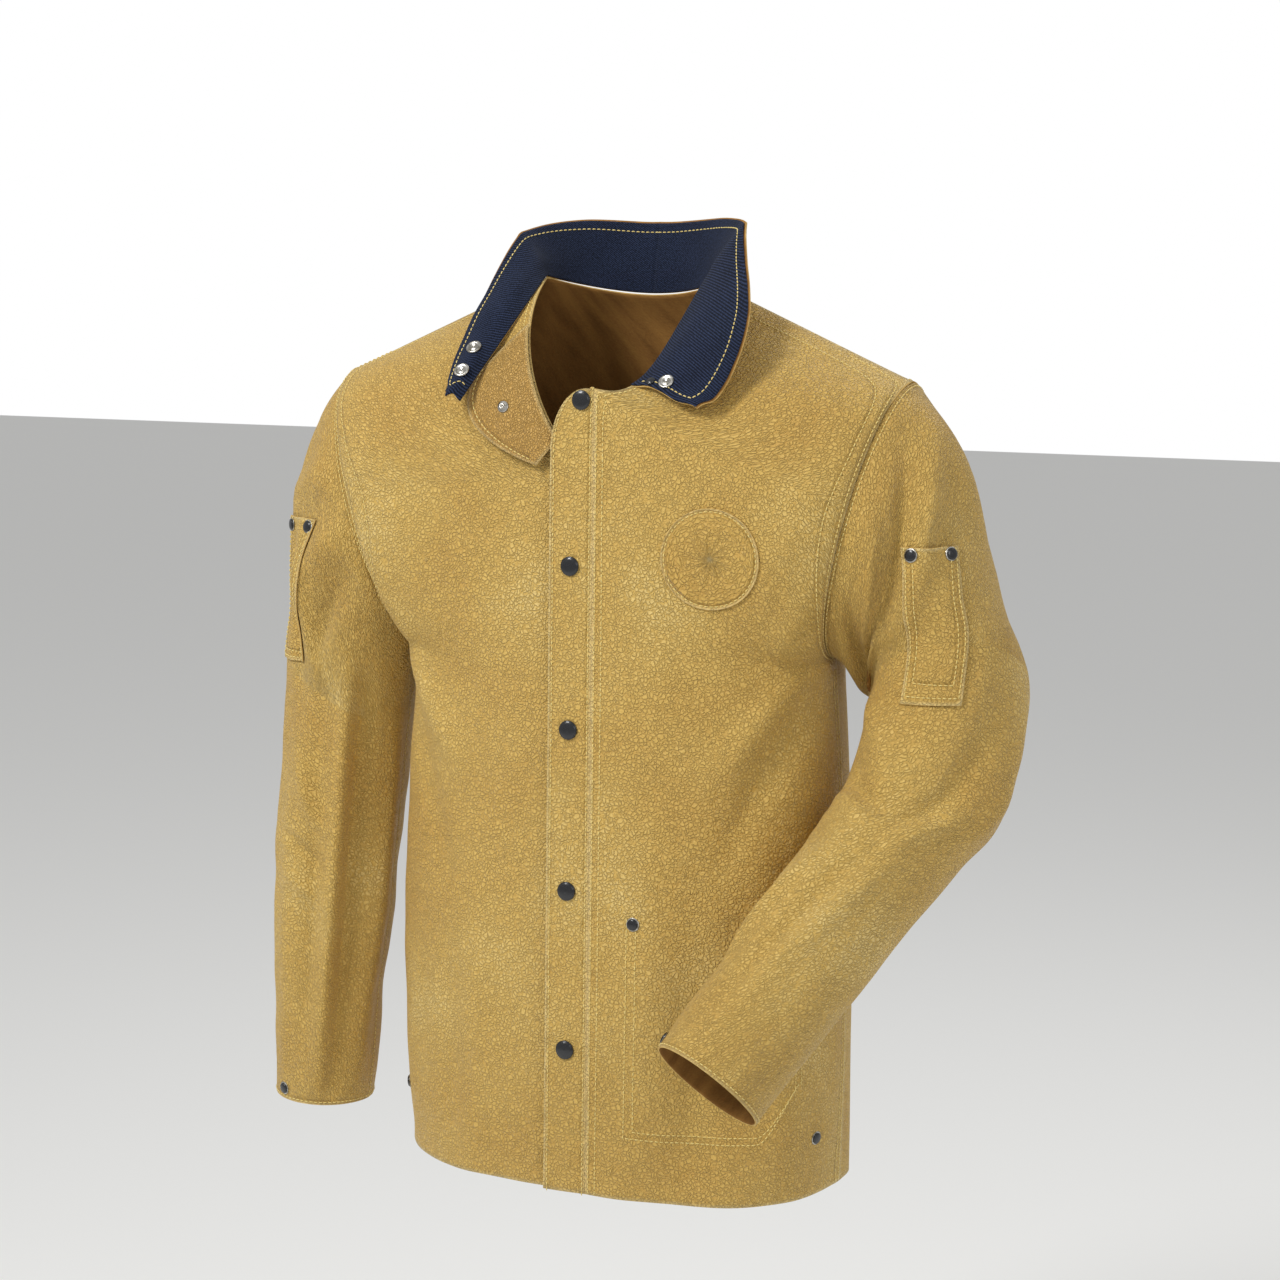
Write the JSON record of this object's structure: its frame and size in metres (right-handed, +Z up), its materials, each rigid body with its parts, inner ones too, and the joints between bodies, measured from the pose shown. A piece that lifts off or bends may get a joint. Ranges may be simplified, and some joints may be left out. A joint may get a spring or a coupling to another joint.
{
  "type": "leather welding jacket",
  "caption": "Tan grain leather welding jacket with a snap front, an open twill-lined collar, sleeve pencil pockets and a bent left sleeve.",
  "frame": {"origin": "middle of the neck opening at the height of the shoulder seams, where what wears or displays the jacket holds it up", "axes": "+Z up, the front faces -Y, the wearer's left arm is on +X"},
  "size_m": [0.6568, 0.3401, 0.7782],
  "materials": {
    "leather": "golden tan side leather with a fine pebbled grain, satin",
    "facing_leather": "smoother brown-tan leather, matt flesh side",
    "twill": "navy cotton twill",
    "black_cap": "black lacquered snap caps, semi-gloss",
    "nickel": "nickel-plated steel",
    "thread": "yellow aramid sewing thread"
  },
  "bodies": {
    "torso": {"back": "leather", "chest_patch": "leather", "collar_back": "leather", "collar_back_lining": "twill", "inside_pocket": "facing_leather", "left_front": "leather", "left_hem_rivet": "nickel", "pocket_rivet_inner": "nickel", "pocket_rivet_outer": "nickel", "right_facing": "facing_leather", "right_front": "leather", "right_hem_rivet": "nickel", "right_lapel": "facing_leather", "snap_stud_1": "nickel", "snap_stud_2": "nickel", "snap_stud_3": "nickel", "snap_stud_4": "nickel", "snap_stud_5": "nickel"},
    "front_placket": {"placket": "leather", "placket_facing": "facing_leather", "snap_cap_1": "black_cap", "snap_cap_2": "black_cap", "snap_cap_3": "black_cap", "snap_cap_4": "black_cap", "snap_cap_5": "black_cap", "snap_socket_1": "nickel", "snap_socket_2": "nickel", "snap_socket_3": "nickel", "snap_socket_4": "nickel", "snap_socket_5": "nickel"},
    "left_collar": {"collar_ring_snap": "nickel", "collar_stud": "black_cap", "left_collar_wing": "leather", "left_collar_wing_lining": "twill"},
    "right_collar": {"collar_eyelet_lower": "nickel", "collar_eyelet_upper": "nickel", "right_collar_wing": "leather", "right_collar_wing_lining": "twill"},
    "left_upper_arm": {"left_pencil_pocket": "leather", "left_pencil_rivet_inner": "nickel", "left_pencil_rivet_outer": "nickel", "left_upper_sleeve": "leather"},
    "left_forearm": {"left_cuff_rivet": "nickel", "left_lower_sleeve": "leather"},
    "right_upper_arm": {"right_pencil_pocket": "leather", "right_pencil_rivet_inner": "nickel", "right_pencil_rivet_outer": "nickel", "right_upper_sleeve": "leather"},
    "right_forearm": {"right_cuff_rivet": "nickel", "right_lower_sleeve": "leather"}
  },
  "joints": [
    {"name": "placket_opening", "type": "hinge", "parent": "torso", "child": "front_placket", "pos_m": [0.018, -0.118, -0.712], "axis": [0, 0.0332, 0.9994], "range_deg": [0, 80]},
    {"name": "left_collar_turn", "type": "hinge", "parent": "torso", "child": "left_collar", "pos_m": [0.06102, -0.01852, -0.01755], "axis": [-0.2157, -0.7478, -0.6279], "range_deg": [0, 30]},
    {"name": "right_collar_turn", "type": "hinge", "parent": "torso", "child": "right_collar", "pos_m": [-0.05688, -0.01042, -0.01138], "axis": [0.2089, 0.7043, 0.6785], "range_deg": [0, 30]},
    {"name": "left_shoulder_swing", "type": "hinge", "parent": "torso", "child": "left_upper_arm", "pos_m": [0.20827, 0.005, -0.18222], "axis": [-0.9659, 0, 0.2588], "range_deg": [0, 15]},
    {"name": "left_elbow_bend", "type": "hinge", "parent": "left_upper_arm", "child": "left_forearm", "pos_m": [0.283, 0.012, -0.352], "axis": [-0.7032, 0.6827, -0.1985], "range_deg": [-15, 12]},
    {"name": "right_shoulder_swing", "type": "hinge", "parent": "torso", "child": "right_upper_arm", "pos_m": [-0.20827, 0.005, -0.18222], "axis": [-0.9659, 0, -0.2588], "range_deg": [-10, 20]},
    {"name": "right_elbow_bend", "type": "hinge", "parent": "right_upper_arm", "child": "right_forearm", "pos_m": [-0.25, -0.002, -0.395], "axis": [-0.9973, 0.003, 0.0738], "range_deg": [0, 35]}
  ]
}
